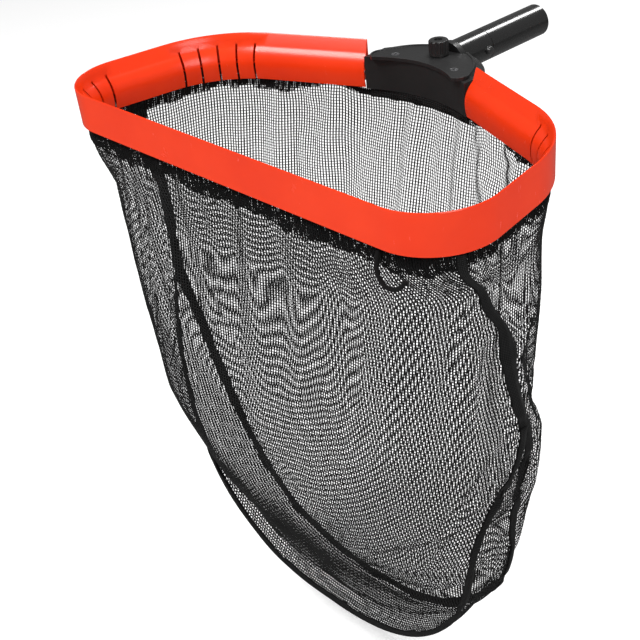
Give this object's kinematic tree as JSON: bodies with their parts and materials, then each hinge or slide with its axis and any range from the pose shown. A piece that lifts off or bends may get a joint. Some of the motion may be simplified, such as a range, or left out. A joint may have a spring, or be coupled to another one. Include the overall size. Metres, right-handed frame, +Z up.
{
  "type": "leaf skimmer net",
  "caption": "Deep-bag pool leaf net: plastic-edged D-shaped hoop on a short pole socket with spring buttons and a clamp knob, and a hanging mesh bag.",
  "frame": {"origin": "centre of the handle's open end, on the handle's axis", "axes": "+Y along the handle out of its open end, +Z up out of the net's mouth, +X to the right seen from above with the handle pointing away"},
  "size_m": [0.4516, 0.3876, 0.5142],
  "materials": {
    "orange_plastic": "satin-gloss moulded edging",
    "black_plastic": "fine textured moulding",
    "handle_plastic": "gloss black tube",
    "washer_plastic": "plain",
    "button_plastic": "polished dome",
    "frame_aluminium": "drawn tube",
    "screw_steel": "zinc plated",
    "spring_steel": "bright spring strip",
    "insert_brass": "turned",
    "net_mesh": "open knitted mesh",
    "hem_fabric": "folded knitted hem",
    "tape_fabric": "woven binding tape"
  },
  "bodies": {
    "frame": {"hoop_tube": "frame_aluminium", "edge_guard": "orange_plastic", "yoke_body": "black_plastic", "yoke_cover": "black_plastic", "cover_screws": "screw_steel", "threaded_insert": "insert_brass", "handle_tube": "handle_plastic", "handle_rivet": "screw_steel", "button_clip": "spring_steel", "front_hem": "hem_fabric", "left_rear_hem": "hem_fabric", "right_rear_hem": "hem_fabric", "front_net_panel": "net_mesh", "rear_net_panel": "net_mesh", "bottom_gusset": "net_mesh", "left_seam_tape": "tape_fabric", "right_seam_tape": "tape_fabric", "front_gusset_tape": "tape_fabric", "rear_gusset_tape": "tape_fabric", "mouth_binding": "hem_fabric", "hem_cord": "hem_fabric"},
    "washer": {"knob_washer": "washer_plastic"},
    "knob": {"clamp_knob": "black_plastic", "knob_stud": "screw_steel"},
    "left_button_body": {"left_button": "button_plastic"},
    "right_button_body": {"right_button": "button_plastic"}
  },
  "joints": [
    {"name": "knob_lift", "type": "slide", "parent": "frame", "child": "washer", "axis": [0, 0, 1], "range_m": [0, 0.0024]},
    {"name": "knob_turn", "type": "hinge", "parent": "washer", "child": "knob", "pos_m": [0, -0.13, 0.0096], "axis": [0, 0, 1], "range_deg": [0, 1080]},
    {"name": "left_button_press", "type": "slide", "parent": "frame", "child": "left_button_body", "axis": [1, 0, 0], "range_m": [0, 0.0038], "deforming": ["button_clip"]},
    {"name": "right_button_press", "type": "slide", "parent": "frame", "child": "right_button_body", "axis": [-1, 0, 0], "range_m": [0, 0.0038], "deforming": ["button_clip"]}
  ],
  "couplings": [
    {"joint": "knob_lift", "follows": "knob_turn", "m_per_rad": 0.00012732}
  ]
}
